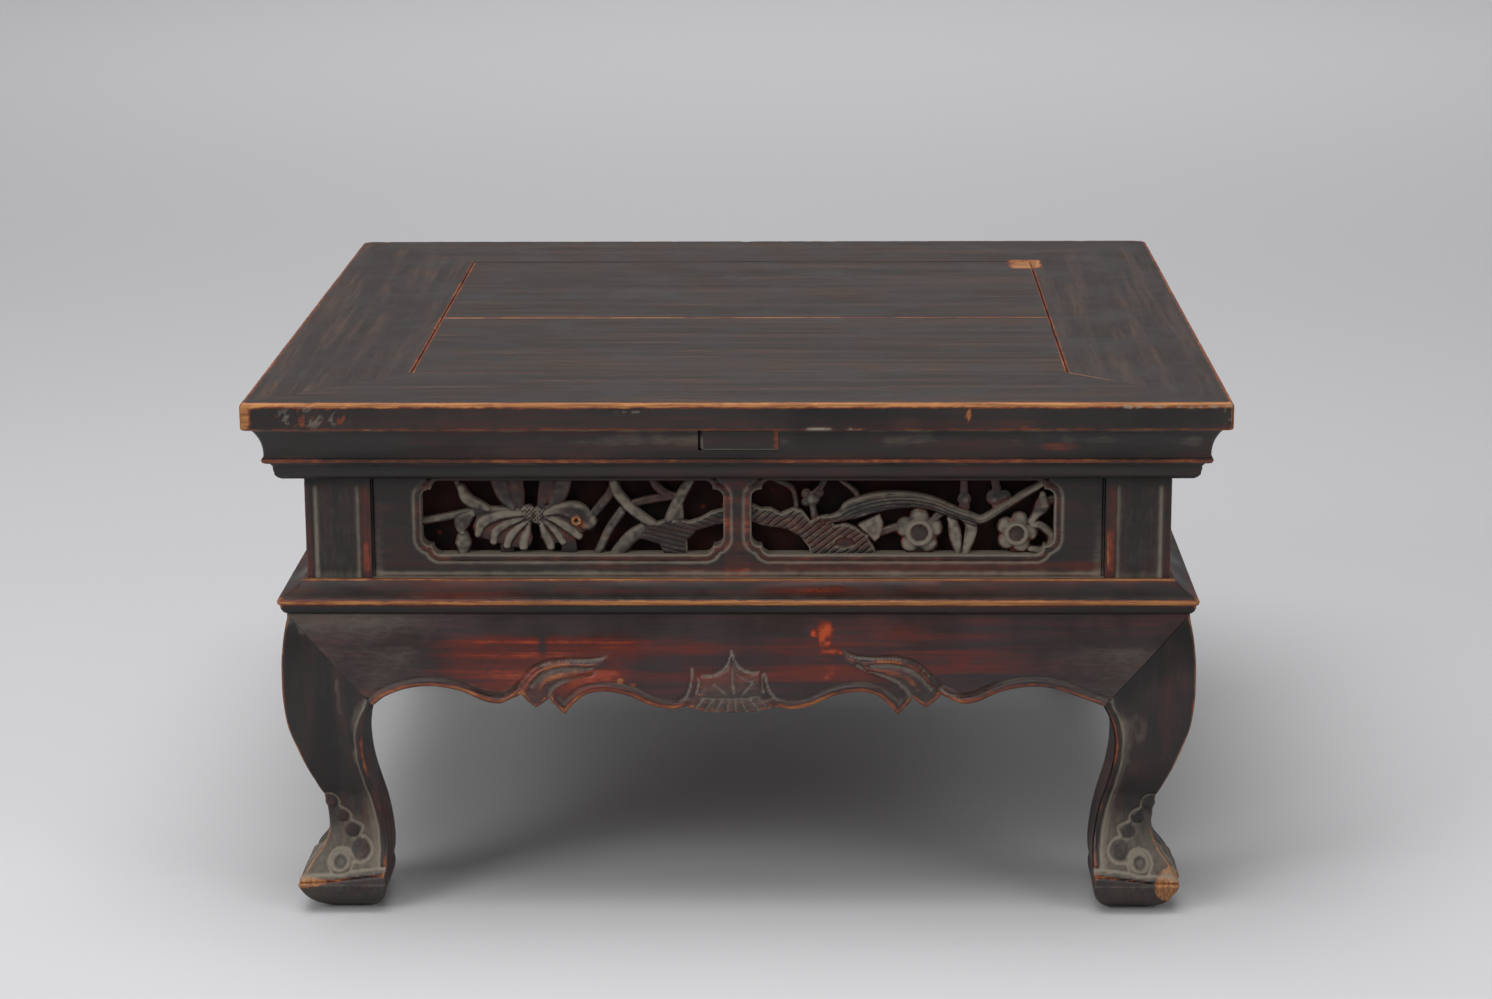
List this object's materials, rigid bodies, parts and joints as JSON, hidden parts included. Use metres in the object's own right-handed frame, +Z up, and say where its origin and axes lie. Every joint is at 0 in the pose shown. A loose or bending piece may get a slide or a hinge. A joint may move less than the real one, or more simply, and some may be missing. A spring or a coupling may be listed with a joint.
{
  "type": "kang table",
  "caption": "Low square table with a mitred moulded top, openwork carved waist, shaped aprons and cabriole legs ending in outturned feet.",
  "frame": {"origin": "on the floor, under the middle of the square top", "axes": "+Z up, -Y towards the front with the repair patch, +X to the right seen from the front"},
  "size_m": [0.7, 0.7, 0.39],
  "materials": {
    "dark_lacquer": "worn satin lacquer",
    "red_brown_lacquer": "worn satin lacquer",
    "top_lacquer": "rubbed dull lacquer",
    "bare_wood": "bare, aged",
    "bamboo": "bare"
  },
  "bodies": {
    "root": {"top_front_rail": "dark_lacquer", "front_waist_panel": "dark_lacquer", "front_waist_backing": "red_brown_lacquer", "front_lower_moulding": "dark_lacquer", "front_apron": "red_brown_lacquer", "top_right_rail": "dark_lacquer", "right_waist_panel": "dark_lacquer", "right_waist_backing": "red_brown_lacquer", "right_lower_moulding": "dark_lacquer", "right_apron": "red_brown_lacquer", "top_back_rail": "dark_lacquer", "back_waist_panel": "dark_lacquer", "back_waist_backing": "red_brown_lacquer", "back_lower_moulding": "dark_lacquer", "back_apron": "red_brown_lacquer", "top_left_rail": "dark_lacquer", "left_waist_panel": "dark_lacquer", "left_waist_backing": "red_brown_lacquer", "left_lower_moulding": "dark_lacquer", "left_apron": "red_brown_lacquer", "front_left_leg": "dark_lacquer", "front_right_leg": "dark_lacquer", "back_right_leg": "dark_lacquer", "back_left_leg": "dark_lacquer", "top_front_board": "top_lacquer", "top_rear_board": "top_lacquer", "left_batten": "bare_wood", "right_batten": "bare_wood", "front_edge_patch": "dark_lacquer", "corner_pins": "bare_wood", "moulding_pins": "bamboo"}
  },
  "joints": []
}
